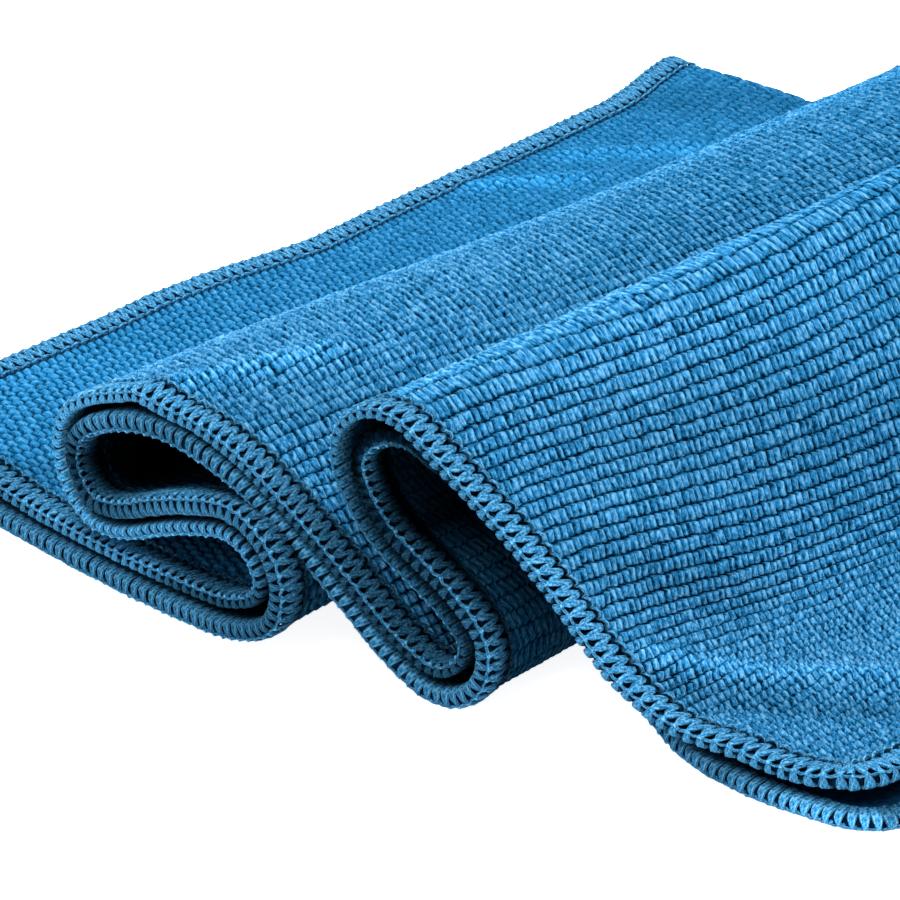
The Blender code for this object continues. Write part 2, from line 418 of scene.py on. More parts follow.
def mesh_object(name, points, faces, uvs, light, material):
    """A smooth mesh piece from points in millimetres and quads, with a UV and
    the painted light and shade at each point."""
    points = (points.reshape(-1, 3) - FOOTPRINT_MIDDLE) * MM
    mesh = bpy.data.meshes.new(name)
    mesh.vertices.add(len(points))
    mesh.vertices.foreach_set("co", points.astype(np.float32).ravel())
    mesh.loops.add(faces.size)
    mesh.loops.foreach_set("vertex_index", faces.astype(np.int32).ravel())
    mesh.polygons.add(len(faces))
    mesh.polygons.foreach_set("loop_start", np.arange(len(faces), dtype=np.int32) * faces.shape[1])
    layer = mesh.uv_layers.new(name="threads")
    layer.uv.foreach_set("vector", uvs.reshape(-1, 2)[faces.ravel()].astype(np.float32).ravel())
    shade = mesh.attributes.new("light", "FLOAT", "POINT")
    shade.data.foreach_set("value", light.astype(np.float32).ravel())
    mesh.update(calc_edges=True)
    mesh.shade_smooth()
    mesh.materials.append(material)
    piece = bpy.data.objects.new(name, mesh)
    bpy.context.scene.collection.objects.link(piece)
    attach(piece, "root")
    return piece


def grid_faces(rows, columns, start=0):
    """Quads of a grid of points stored row by row."""
    ids = start + np.arange(rows * columns).reshape(rows, columns)
    quads = np.stack([ids[:-1, :-1], ids[:-1, 1:], ids[1:, 1:], ids[1:, :-1]], axis=-1)
    return quads.reshape(-1, 4)


# ---- The knit.

# The ribs run askew on the last panel and on the first crest: how much of the
# drift each place along the front edge takes, and the drift going inwards.
PANEL_ACROSS = (
    # along the front edge, share
    (284.0, 0.0), (300.0, 0.28), (312.0, 0.62), (324.0, 0.88), (336.0, 1.0),
    (348.0, 0.98), (360.0, 0.78), (372.0, 0.46), (382.0, 0.18), (390.0, 0.0),
)
PANEL_INWARDS = (
    # inwards, drift
    (0.0, 0.0), (8.0, 0.5), (16.0, 1.9), (26.0, 4.2), (40.0, 7.4), (52.0, 9.4),
    (66.0, 11.0), (80.0, 11.9), (100.0, 12.6), (130.0, 13.0),
)
CREST_ACROSS = (
    (164.0, 0.0), (176.0, 0.35), (188.0, 0.9), (197.0, 1.0), (207.0, 0.65), (220.0, 0.0),
)
CREST_INWARDS = (
    (0.0, 0.0), (24.0, -0.2), (38.0, 0.4), (52.0, 2.2), (64.0, 3.4), (84.0, 3.8),
    (120.0, 4.2), (136.0, 6.2), (156.0, 8.6), (180.0, 9.4),
)

# All the ribs sway a little, but not along the sheet's ends.
SWAYS = (
    # most, length inwards, length along the front edge, start
    (0.9,   31.0,  47.0, 0.0),
    (0.54,  17.0, -29.0, 1.0),
)
SWAY_FADE = 12.0


def rib_drift(a, v):
    """How far the ribs wander sideways, in millimetres."""
    u = a * RIB_PITCH
    sway = sum(most * np.sin(v / inwards + u / onwards + start)
               for most, inwards, onwards, start in SWAYS)
    drift = sway * smooth(u / SWAY_FADE) * smooth((SHEET_WIDTH - u) / SWAY_FADE)
    for across, inwards in ((PANEL_ACROSS, PANEL_INWARDS), (CREST_ACROSS, CREST_INWARDS)):
        drift = drift + read(across, u) * read(inwards, v)
    return drift


# Near the front edge the stitches are longer on the flat end, and shorter on the
# last panel: how many of them lie in front of a place, and how far in it is.
FLAT_ROWS = (
    # stitches, how far in
    (0.0, 0.0), (20.0, 35.0), (35.0, 60.0), (124.0, SHEET_LENGTH / 2),
)
PANEL_ROWS = (
    # stitches, how far in
    (0.0, 0.0), (34.0, 41.0), (55.0, 70.0), (74.0, 100.0), (124.0, SHEET_LENGTH / 2),
)
PANEL_SHARE = (
    # along the front edge, share
    (0.0, 0.0), (90.0, 0.0), (150.0, 0.3), (185.0, 0.6), (230.0, 0.7), (300.0, 0.85),
    (325.0, 1.0), (391.0, 1.0),
)

# How far each pad leans along its rib, for each millimetre across it.
PAD_LEAN = (
    # along the front edge, lean
    (0.0, 0.0), (150.0, 0.0), (190.0, 0.2), (230.0, 0.3), (310.0, 0.5), (391.0, 0.5),
)


def stitch_row(b, u):
    """How far round the sheet, in millimetres, stitch number b lies."""
    lower = b > STITCHES / 2
    number = np.where(lower, STITCHES - b, b)
    share = read(PANEL_SHARE, u)
    depth = read(FLAT_ROWS, number) * (1.0 - share)
    depth = depth + read(PANEL_ROWS, number) * share
    return np.where(lower, SHEET_LENGTH - depth, depth)


WANDER = RANDOM.normal(0.0, WANDER_SPREAD, (2, RIBS + 1, STITCHES + 1))
PAD_LIFT = RANDOM.normal(0.0, PAD_LIFT_SPREAD, (RIBS + 1, STITCHES + 2))


def wander(a, b):
    """Small shifts of the knit, in millimetres, even from stitch to stitch."""
    i = np.clip(np.floor(a).astype(int), 0, RIBS - 1)
    j = np.clip(np.floor(b).astype(int), 0, STITCHES - 1)
    s, t = a - i, b - j
    near = WANDER[:, i, j] * (1.0 - s) + WANDER[:, i + 1, j] * s
    far = WANDER[:, i, j + 1] * (1.0 - s) + WANDER[:, i + 1, j + 1] * s
    return near * (1.0 - t) + far * t


def pad_heights(grid_a, row, rows, valley_here):
    """Height of the knit over the sheet's middle: pads, lower between the ribs,
    with a hole at the corners of each pad."""
    rib = np.floor(grid_a).astype(int)
    half = (rib % 2) * (rows // 2)
    phase = np.mod(row[None, :] + half, rows) / rows
    away = np.abs(phase - 0.5) * 2.0
    pad = np.interp(away, [0.0, 0.5, 1.0], [PAD_TOP, PAD_SHOULDER, PAD_GAP])
    pad = pad + PAD_LIFT[rib, (row[None, :] + half) // rows] * (1.0 - away)
    beside = np.mod(row[None, :], max(rows // 2, 1)) == 0
    return np.where(valley_here, np.where(beside, STITCH_HOLE, RIB_VALLEY), pad)


def under_overlock(u, v):
    """How far a place is out of the strip under the overlock, from 0 to 1, the
    strip's height there and the painted light between its threads (painted shade)."""
    inward = edge_distance(u, v)
    clear = smooth((inward - BAND_WIDTH + BAND_START) / BAND_SLOPE)
    low = BAND_HEIGHT * smooth((inward + BAND_START) / BAND_LIP)
    light = BAND_LIGHT + LOOP_LIGHT * smooth((LOOP_REACH - inward) / LOOP_SLOPE)
    at_left = smooth((LEFT_BAND_WIDTH - u) / (LEFT_BAND_WIDTH / 2))
    light = light + LEFT_BAND_LIGHT * at_left * smooth((v - LEFT_BAND_FROM) / LEFT_BAND_REACH)
    return clear, low, light


def knit_piece(name, ribs, stitches, columns, rows, relief, pressed, material):
    """The outer face of some ribs: a pad for each stitch, half a stitch
    further on in every other rib."""
    a = np.append((np.arange(*ribs)[:, None] + np.array(columns)).ravel(), ribs[1])
    valley_here = (np.arange(len(a)) % len(columns) == 0)[:, None]
    row = np.arange(stitches[0] * rows, stitches[1] * rows + 1)

    grid_a, grid_b = np.meshgrid(a, row / rows, indexing="ij")
    aside, onward = wander(grid_a, grid_b)
    v = stitch_row(grid_b, grid_a * RIB_PITCH)
    u = grid_a * RIB_PITCH + rib_drift(grid_a, v) + aside
    across = np.where(valley_here, 0.0, 0.5 - np.mod(grid_a, 1.0)) * RIB_PITCH
    lean = across * read(PAD_LEAN, u) * np.where(v > SHEET_LENGTH / 2, -1.0, 1.0)
    v = squeezed(u, v + onward + lean)

    height = pad_heights(grid_a, row, rows, valley_here)
    far = smooth((v - FAR_FROM[1]) / FAR_REACH[1]) * smooth((u - FAR_FROM[0]) / FAR_REACH[0])
    height = PAD_MIDDLE + (height - PAD_MIDDLE) * relief * (1.0 - FAR_SOFTER * far)
    if pressed:
        flat = FLAT_PRESSED * smooth((PRESSED_UP_TO - u) / PRESSED_REACH)
        height = height + (PAD_MIDDLE - height) * flat
    clear, low, band_light = under_overlock(u, v)
    height = low + (height - low) * clear

    # Painted light and shade of the knit: painted shade in the hollows, under the overlock and
    # between the pads, with the painted highlights and shade of the light lines.
    light = painted_hollow_light(u, v) * (band_light + (1.0 - band_light) * clear)
    raised_share = np.clip((height - STITCH_HOLE) / (PAD_SHOULDER - STITCH_HOLE), 0.0, 1.0)
    valley_light = VALLEY_LIGHT + (1.0 - VALLEY_LIGHT) * far * FAR_SOFTER
    light = light * (valley_light + (1.0 - valley_light) * raised_share) * painted_gleam(u, v)

    uvs = np.stack([grid_a, grid_b], axis=-1)
    return mesh_object(name, raised(u, v, height), grid_faces(*grid_a.shape), uvs, light, material)


def core_piece(material):
    """The whole sheet, plain and closed: its inner face shows between the
    plies, and the rest lies just under the knit."""
    a = np.arange(0.0, RIBS + 1)
    a[0] -= CORE_PAST_EDGE / RIB_PITCH
    a[-1] += CORE_PAST_EDGE / RIB_PITCH
    edge_rows = np.array(CORE_EDGE_ROWS)
    v = np.concatenate([
        edge_rows,
        np.linspace(CORE_ROWS_FROM, STRIP_DEPTH, CORE_ROWS),
        STRIP_DEPTH + FOLD_LENGTH * np.array(CORE_FOLD_ROWS),
        np.linspace(STRIP_DEPTH + FOLD_LENGTH, SHEET_LENGTH - CORE_ROWS_FROM, CORE_ROWS),
        SHEET_LENGTH - edge_rows[::-1],
    ])
    grid_a, grid_v = np.meshgrid(a, v, indexing="ij")
    u = grid_a * RIB_PITCH
    flat_v = squeezed(u, grid_v)
    flat_v[:, 0] -= CORE_PAST_EDGE
    flat_v[:, -1] += CORE_PAST_EDGE
    on_edge = np.zeros(u.shape)
    on_edge[0, :] = on_edge[-1, :] = 1.0
    on_edge[:, 0] = on_edge[:, -1] = 1.0
    top = raised(u, flat_v, CORE_TOP + (CORE_LIP - CORE_TOP) * on_edge)
    share = read(EDGE_UNDER["upper_front"], u)
    near_upper = smooth((CORE_THIN_UP_TO - flat_v) / CORE_THIN_REACH)
    under = raised(u, flat_v, CORE_UNDER * (1.0 + near_upper * (share - 1.0)))

    ids = np.arange(u.size).reshape(u.shape)
    rim = []
    for line in (ids[:, 0], ids[::-1, -1], ids[0, ::-1], ids[-1, :]):
        below = line + u.size
        rim.append(np.stack([below[:-1], below[1:], line[1:], line[:-1]], axis=-1))
    faces = np.concatenate([
        grid_faces(*u.shape), grid_faces(*u.shape, start=u.size)[:, ::-1], *rim,
    ])
    points = np.concatenate([top.reshape(-1, 3), under.reshape(-1, 3)])
    uvs = np.stack([grid_a, grid_v / STITCH_PITCH], axis=-1).reshape(-1, 2)
    return mesh_object("cloth_sheet", points, faces, np.concatenate([uvs, uvs]),
                       np.ones(len(points)), material)


# ---- The overlocked edge.

def edge_run(name):
    """Length of a side of the sheet, and a function from the distance along it
    and inwards from it to u and v."""
    r = CORNER_RADIUS
    quarter = math.pi * r / 2
    straight = (SHEET_WIDTH if name in EDGE_UNDER else SHEET_LENGTH) - 2 * r

    def place(along_edge, inward):
        # p is the place along the side, q how far in from it.
        s = along_edge - quarter / 2
        turn = np.where(s < 0.0, s, np.where(s > straight, s - straight, 0.0)) / r
        p = np.clip(s, 0.0, straight) + r + np.sin(turn) * (r - inward)
        q = r - np.cos(turn) * (r - inward)
        if name == "upper_front":
            return p, q + behind(p, False)
        if name == "lower_front":
            return SHEET_WIDTH - p, SHEET_LENGTH - q - behind(SHEET_WIDTH - p, True)
        if name == "right_end":
            return SHEET_WIDTH - q, p
        return q, SHEET_LENGTH - p

    return straight + quarter, place


def tube(path, reference, widths, heights, sides, strands):
    """Points, quads and UVs of tubes swept along paths of (tubes, points, 3).
    Their seam is on the side that faces the cloth."""
    ahead = np.gradient(path, axis=1)
    ahead /= np.linalg.norm(ahead, axis=-1, keepdims=True)
    across = np.cross(ahead, reference)
    across /= np.linalg.norm(across, axis=-1, keepdims=True)
    up = np.cross(across, ahead)
    turn = np.arange(sides + 1) / sides
    angle = (turn * 2.0 - 0.5) * math.pi
    sideways, upwards = (np.sign(wave) * np.abs(wave) ** TUBE_SQUARENESS
                         for wave in (np.cos(angle), np.sin(angle)))
    ring = (across[:, :, None, :] * sideways[:, None] * widths[:, :, None, None]
            + up[:, :, None, :] * upwards[:, None] * heights[:, :, None, None])
    points = path[:, :, None, :] + ring
    tubes, steps = path.shape[:2]
    ids = np.arange(tubes * steps * (sides + 1)).reshape(tubes, steps, sides + 1)
    quads = np.stack([ids[:, :-1, :-1], ids[:, :-1, 1:], ids[:, 1:, 1:], ids[:, 1:, :-1]], axis=-1)
    lengths = np.linalg.norm(np.diff(path, axis=1), axis=-1)
    run = np.concatenate([np.zeros((tubes, 1)), np.cumsum(lengths, axis=1)], axis=1)
    uvs = np.stack(np.broadcast_arrays(run[:, :, None], turn * strands), axis=-1)
    return points.reshape(-1, 3), quads.reshape(-1, 4), uvs.reshape(-1, 2)


# One stitch of the overlock, as points along the edge (in stitches), inwards
# and outwards over the sheet's middle (millimetres), with the yarn's half
# width and half height there, and the painted light on it: painted shade
# where it dips round the rim, painted highlight above 1.
ZIGZAG = (
    # along, inward, height, half width, half height, light
    (0.00,  -0.26,  1.12,  0.62, 0.36, 1.2),
    (0.12,   0.50,  1.34,  0.55, 0.33, 1.0),
    (0.27,   1.60,  1.32,  0.48, 0.30, 1.0),
    (0.42,   2.70,  1.20,  0.44, 0.28, 1.0),
    (0.51,   3.30,  1.04,  0.38, 0.25, 0.9),
    (0.57,   3.36,  1.02,  0.38, 0.25, 0.9),
    (0.65,   2.85,  1.18,  0.44, 0.28, 1.0),
    (0.78,   1.75,  1.32,  0.48, 0.30, 1.0),
    (0.90,   0.65,  1.34,  0.54, 0.33, 1.0),
)
WRAP = (
    (0.00,  -0.48,  0.86,  0.38, 0.22, 0.9),
    (0.03,  -0.76,  0.52,  0.54, 0.26, 0.75),
    (0.07,  -0.92,  0.10,  0.68, 0.30, 0.75),
    (0.11,  -0.94, -0.40,  0.78, 0.30, 0.75),
    (0.15,  -0.66, -0.90,  0.88, 0.28, 0.6),
    (0.20,   0.00, -1.16,  1.00, 0.23, 0.45),
    (0.25,   1.10, -1.22,  1.04, 0.20, 0.3),
    (0.30,   2.40, -1.14,  1.04, 0.18, 0.2),
)
LOWER_WRAP = (
    (0.00,  -0.48,  0.86,  0.34, 0.20, 0.9),
    (0.03,  -0.76,  0.54,  0.44, 0.25, 0.8),
    (0.06,  -0.92,  0.16,  0.52, 0.29, 0.9),
    (0.10,  -0.98, -0.34,  0.64, 0.31, 1.0),
    (0.14,  -0.80, -0.84,  0.84, 0.30, 0.95),
    (0.19,  -0.10, -1.16,  1.00, 0.24, 0.7),
    (0.25,   1.10, -1.22,  1.04, 0.20, 0.4),
    (0.30,   2.40, -1.14,  1.04, 0.18, 0.25),
)
CHAIN = (
    (0.00,  -0.38,  1.14,  0.50, 0.38, 1.3),
    (0.24,  -0.60,  0.92,  0.26, 0.22, 0.75),
    (0.52,  -0.68,  0.84,  0.24, 0.22, 0.7),
    (0.80,  -0.56,  0.96,  0.28, 0.22, 0.75),
)
NEEDLE = (
    (0.00,   3.95,  0.60,  0.20, 0.16, 0.7),
    (0.14,   4.16,  1.24,  0.26, 0.22, 1.0),
    (0.50,   4.32,  1.46,  0.28, 0.24, 1.0),
    (0.84,   4.22,  1.26,  0.26, 0.22, 1.0),
)

# How thick the inner half of the edge is, against the sheet's own: the front
# edges press on each other, and the upper one gives way.
EDGE_UNDER = {
    # along the front edge, share
    "upper_front": ((0.0, 1.0), (6.0, 0.5), (230.0, 0.5), (260.0, 0.2), (370.0, 0.2),
                    (391.0, 1.0)),
    "lower_front": ((0.0, 1.0), (6.0, 1.35), (330.0, 1.35), (350.0, 1.1), (391.0, 1.0)),
}
EVEN = ((0.0, 1.0), (SHEET_WIDTH, 1.0))

# Where the lower front edge lies against the upper one, its wraps get painted shade.
COVERED_WRAPS = (
    # along the front edge, darkness
    (0.0, 0.0), (274.0, 0.0), (286.0, 0.97), (326.0, 0.97), (340.0, 0.3),
    (354.0, 0.3), (366.0, 0.0), (391.0, 0.0),
)

# The painted light on the overlock: painted shade where the folds stand round it, painted
# highlight above 1.
EDGE_LIGHT = {
    # along the front edge, light
    "upper_front": (
        (0.0, 0.9), (34.0, 0.66), (66.0, 0.95), (76.0, 0.36), (98.0, 0.32), (108.0, 0.9),
        (135.0, 0.9), (158.0, 1.15), (170.0, 1.1), (190.0, 0.85), (203.0, 0.66),
        (216.0, 0.30), (232.0, 0.22), (250.0, 0.28), (280.0, 0.34), (292.0, 0.78),
        (308.0, 0.78), (330.0, 0.95), (350.0, 0.92), (391.0, 0.88),
    ),
    "lower_front": (
        (0.0, 0.9), (34.0, 0.6), (80.0, 0.54), (98.0, 0.32), (126.0, 0.62), (142.0, 0.34),
        (158.0, 0.12), (170.0, 0.66), (188.0, 0.46), (203.0, 0.6), (250.0, 0.56),
        (262.0, 0.3), (278.0, 0.1), (292.0, 0.34), (306.0, 1.4), (354.0, 0.85),
        (366.0, 0.5), (378.0, 1.2), (391.0, 1.4),
    ),
}
CHAIN_SHADED = 0.45                # how strongly the chain on the rim takes that shade
OTHERS_SHADED = 1.2                # and the other threads

# The stitches lie closer where the edge was eased in, wider where it was pulled.
STITCHES_ALONG = {
    # along the front edge, stitch length
    "upper_front": (
        (0.0, 2.0), (165.0, 2.0), (190.0, 2.05), (203.0, 1.75), (215.0, 1.7), (226.0, 1.85),
        (300.0, 1.9), (334.0, 1.95), (344.0, 2.15), (362.0, 2.3), (374.0, 2.25), (391.0, 2.1),
    ),
    "lower_front": (
        (0.0, 2.1), (40.0, 2.1), (60.0, 1.95), (150.0, 1.9), (168.0, 2.1), (188.0, 2.1),
        (204.0, 1.66), (216.0, 1.68), (228.0, 1.95), (330.0, 1.9), (350.0, 1.8), (391.0, 1.66),
    ),
}

# How far the zigzag leans along the edge, for each millimetre inwards.
ZIGZAG_LEAN = (
    # along the front edge, lean
    (0.0, 0.0), (160.0, 0.0), (176.0, -0.30), (206.0, -0.26), (228.0, 0.0), (300.0, 0.0),
    (336.0, 0.14), (391.0, 0.14),
)

# The wraps are narrower round the first turn: their share of the full width.
NARROW_WRAPS = (
    # along the front edge, share
    (0.0, 1.0), (62.0, 1.0), (74.0, 0.72), (108.0, 0.72), (124.0, 1.0), (391.0, 1.0),
)


def stitch_places(side, length, place):
    """How many stitches lie on a side, and functions from a stitch number to
    the distance along the side and to the stitch length there."""
    s = np.arange(0.0, length + STEP, STEP)
    u, v = place(s, np.zeros_like(s))
    position, normal = surface_frame(u, v)
    steps = np.max([np.linalg.norm(np.diff(position + normal * height, axis=0), axis=-1)
                    for height in EDGE_FACES], axis=0)
    table = STITCHES_ALONG.get(side, ((0.0, STITCH_LENGTH), (SHEET_WIDTH, STITCH_LENGTH)))
    lengths = read(table, u)
    numbers = np.concatenate(([0.0], np.cumsum(steps / lengths[1:])))
    count = int(round(numbers[-1]))
    numbers = numbers * count / numbers[-1]
    return count, lambda n: np.interp(n, numbers, s), lambda n: np.interp(n, numbers, lengths)


def stitch_paths(side, rows, joined):
    """Paths of one thread in every stitch of a side: one long path if joined."""
    length, place = edge_run(side)
    count, distance, local_length = stitch_places(side, length, place)
    table = np.array(LOWER_WRAP if rows is WRAP and side == "lower_front" else rows)
    start = np.arange(count)[:, None] + RANDOM.normal(0.0, START_SPREAD, (count, 1))
    number = start + table[None, :, 0]
    s = distance(number)
    inward = table[None, :, 1] + RANDOM.normal(0.0, INWARD_SPREAD, s.shape)
    height = table[None, :, 2] + RANDOM.normal(0.0, HEIGHT_SPREAD, s.shape)
    size = 1.0 + RANDOM.normal(0.0, SIZE_SPREAD, (count, 1))
    wide = table[None, :, 3] * size
    high = table[None, :, 4] * size
    light = np.broadcast_to(table[:, 5], s.shape)
    if side == "upper_front":
        s = s + read(ZIGZAG_LEAN, s) * np.maximum(inward, 0.0)
        if not joined:
            wide = wide * read(NARROW_WRAPS, s)
    if joined:
        s, inward, height, wide, high, light = (
            part.reshape(1, -1) for part in (s, inward, height, wide, high, light))
    else:
        wide = wide * local_length(number) / STITCH_LENGTH
    u, v = place(s, inward)
    shaded = CHAIN_SHADED if rows is CHAIN else OTHERS_SHADED
    # Painted light and shade of the threads: from the table, the hollows, the folds round the edge
    # and the covered wraps.
    light = light * painted_hollow_light(u, v) * read(EDGE_LIGHT.get(side, EVEN), u) ** shaded
    if side == "lower_front":
        height = np.minimum(height, LOWER_NEEDLE_TOP + smooth(LOWER_NEEDLE_IN - inward))
        rim = smooth(1.0 - height / RIM_HEIGHT)
        light = light * (1.0 - rim * read(COVERED_WRAPS, u))
    inner = smooth(-height / INNER_HEIGHT)
    height = height * (1.0 + inner * (read(EDGE_UNDER.get(side, EVEN), u) - 1.0))
    position, normal = surface_frame(u, v)
    path = position + normal * height[..., None]
    edge_way = lay(*place(s + LOOK_ALONG, inward)) - position
    edge_way /= np.linalg.norm(edge_way, axis=-1, keepdims=True)
    path[..., 2] = np.maximum(path[..., 2], SURFACE + high)
    return path, normal, edge_way, wide, high, light


THREADS = (
    # table, joined, sides, strands
    (ZIGZAG, True,   6, 5),
    (WRAP,   False,  8, 8),
    (CHAIN,  True,   5, 4),
    (NEEDLE, True,   5, 4),
)


def overlock(name, sides, material):
    """All the threads of the overlock along these sides of the sheet."""
    points, faces, uvs, lights_at = [], [], [], []
    start = 0
    for side in sides:
        for rows, joined, corners, strands in THREADS:
            path, normal, edge_way, wide, high, light = stitch_paths(side, rows, joined)
            reference = normal
            if not joined:
                reference = edge_way
                wide, high = high, wide
            made, quads, uv = tube(path, reference, wide, high, corners, strands)
            made[:, 2] = np.maximum(made[:, 2], SURFACE)
            points.append(made)
            faces.append(quads + start)
            uvs.append(uv)
            lights_at.append(np.repeat(light.ravel(), corners + 1))
            start += len(made)
    return mesh_object(name, np.concatenate(points), np.concatenate(faces),
                       np.concatenate(uvs), np.concatenate(lights_at), material)


# ---- Materials.

# The darkest two colours are painted shade in the gaps between the pads and the strands, and the
# inside colour is painted shade on the inner face between the plies; the pale and glint colours
# are painted highlights on the pads' tops and the strands' crowns, along with the fibres' own
# random tone.
HOLE_SHADE_COLOUR = (0.0005, 0.006, 0.016, 1.0)
DEEP_SHADE_COLOUR = (0.002, 0.048, 0.120, 1.0)
CLOTH_COLOUR = (0.018, 0.182, 0.405, 1.0)
PALE_COLOUR = (0.140, 0.400, 0.650, 1.0)
THREAD_COLOUR = (0.020, 0.185, 0.400, 1.0)
GLINT_COLOUR = (0.160, 0.430, 0.660, 1.0)
INSIDE_SHADE_COLOUR = (0.002, 0.018, 0.045, 1.0)

# The knit: its pads get painted shade where they part, wander a little, and differ.
ACROSS_SHARPNESS = 7.0             # of the dark lines between the ribs
ALONG_SHARPNESS = 1.7              # of those between a rib's pads
ACROSS_DARKNESS = 0.8              # of the first, against the second
ACROSS_BEND = 0.4                  # how far they wander
ALONG_BEND = 0.7
BEND_SCALE = (1.3, 1.1)
PAD_TONE = 0.62                    # between a pad's middle and its border
DARK_TONE = 0.34                   # at a border, and how much darker with full contrast
DARK_SHIFT = 0.28
FIBRES = (2.4, 4.4)                # fine cross fibres, across and along a pad
FIBRE_TONE = 1.8
FIBRE_BUMP = 2.2
PATCHES = (1.5, 1.0)               # wide patches of more or less colour
PATCH_SCALE = 0.05
PATCH_TONE = 0.14
PAD_RANDOM_TONE = 0.14
KNIT_BUMP = 0.0004                 # metres
BUMP_STRENGTH = 0.9
PRESSED_CONTRAST = 0.6             # of the flat end, where the pads are pressed in

# Away from the upper front edge the pile is more brushed, so the pads part less.
BRUSHED_FROM = 40.0                # stitches from that edge
BRUSHED_REACH = 60.0
BRUSHED_TONE = 0.66
BRUSHED_SHARE = 0.45

# The overlock's yarn: strands that twist round it, and fuzz over them.
TWIST = 0.22                       # strands for each millimetre along the yarn
FUZZ = (1.2, 1.9)
STRAND_TONE = 0.22
FUZZ_TONE = 2.2
YARN_SHIFT = -0.55
FUZZ_BUMP = 2.4
STRAND_BUMP = 0.5
YARN_BUMP = 0.00022                # metres

SPECKLE = (2.0, 2.0)               # of the sheet's inner face
SPECKLE_BUMP = 0.0003


class Nodes:
    """Short names for building a material's nodes."""

    def __init__(self, name):
        self.material = bpy.data.materials.new(name)
        self.material.use_nodes = True
        self.tree = self.material.node_tree
        self.shader = self.tree.nodes["Principled BSDF"]

    def link(self, value, socket):
        """Give a socket a value, or the output of another node."""
        if isinstance(value, bpy.types.NodeSocket):
            self.tree.links.new(value, socket)
        else:
            socket.default_value = value

    def math(self, operation, *values):
        """One calculation with values or outputs."""
        node = self.tree.nodes.new("ShaderNodeMath")
        node.operation = operation
        for value, socket in zip(values, node.inputs):
            self.link(value, socket)
        return node.outputs[0]

    def noise(self, vector, scale, detail=2.0, roughness=0.5):
        """Soft random patches round 0.5."""
        node = self.tree.nodes.new("ShaderNodeTexNoise")
        self.link(vector, node.inputs["Vector"])
        node.inputs["Scale"].default_value = scale
        node.inputs["Detail"].default_value = detail
        node.inputs["Roughness"].default_value = roughness
        return node.outputs["Fac"]

    def ramp(self, value, *stops):
        """The colour for a value, between these stops."""
        node = self.tree.nodes.new("ShaderNodeValToRGB")
        self.link(value, node.inputs["Fac"])
        elements = node.color_ramp.elements
        while len(elements) < len(stops):
            elements.new(1.0)
        for element, (place, colour) in zip(elements, stops):
            element.position = place
            element.color = colour
        return node.outputs["Color"]

    def random(self, vector):
        """One random number for each whole-number place."""
        node = self.tree.nodes.new("ShaderNodeTexWhiteNoise")
        node.noise_dimensions = "2D"
        self.link(vector, node.inputs["Vector"])
        return node.outputs["Value"]

    def lit(self, colour):
        """Colour the surface, scaled by the painted light and shade of the light attribute: darker
        where little light gets in.
        """
        attribute = self.tree.nodes.new("ShaderNodeAttribute")
        attribute.attribute_name = "light"
        node = self.tree.nodes.new("ShaderNodeVectorMath")
        node.operation = "SCALE"
        self.link(colour, node.inputs[0])
        self.link(attribute.outputs["Fac"], node.inputs["Scale"])
        self.link(node.outputs[0], self.shader.inputs["Base Color"])

    def combine(self, x, y):
        """A place from its two coordinates."""
        node = self.tree.nodes.new("ShaderNodeCombineXYZ")
        self.link(x, node.inputs[0])
        self.link(y, node.inputs[1])
        return node.outputs[0]

    def scaled(self, x, y, factors):
        """A place with each of its coordinates scaled."""
        return self.combine(self.math("MULTIPLY", x, factors[0]),
                            self.math("MULTIPLY", y, factors[1]))

    def coordinates(self):
        """The two coordinates that the meshes carry."""
        node = self.tree.nodes.new("ShaderNodeUVMap")
        node.uv_map = "threads"
        parts = self.tree.nodes.new("ShaderNodeSeparateXYZ")
        self.link(node.outputs["UV"], parts.inputs[0])
        return parts.outputs[0], parts.outputs[1]

    def bump(self, height, distance, strength=1.0):
        """Small dents and bumps that follow a height."""
        node = self.tree.nodes.new("ShaderNodeBump")
        self.link(height, node.inputs["Height"])
        node.inputs["Distance"].default_value = distance
        node.inputs["Strength"].default_value = strength
        self.link(node.outputs["Normal"], self.shader.inputs["Normal"])


def soft_fibre(nodes):
    """Fibres without gloss."""
    nodes.shader.inputs["Roughness"].default_value = 0.85
    nodes.shader.inputs["Specular IOR Level"].default_value = 0.0


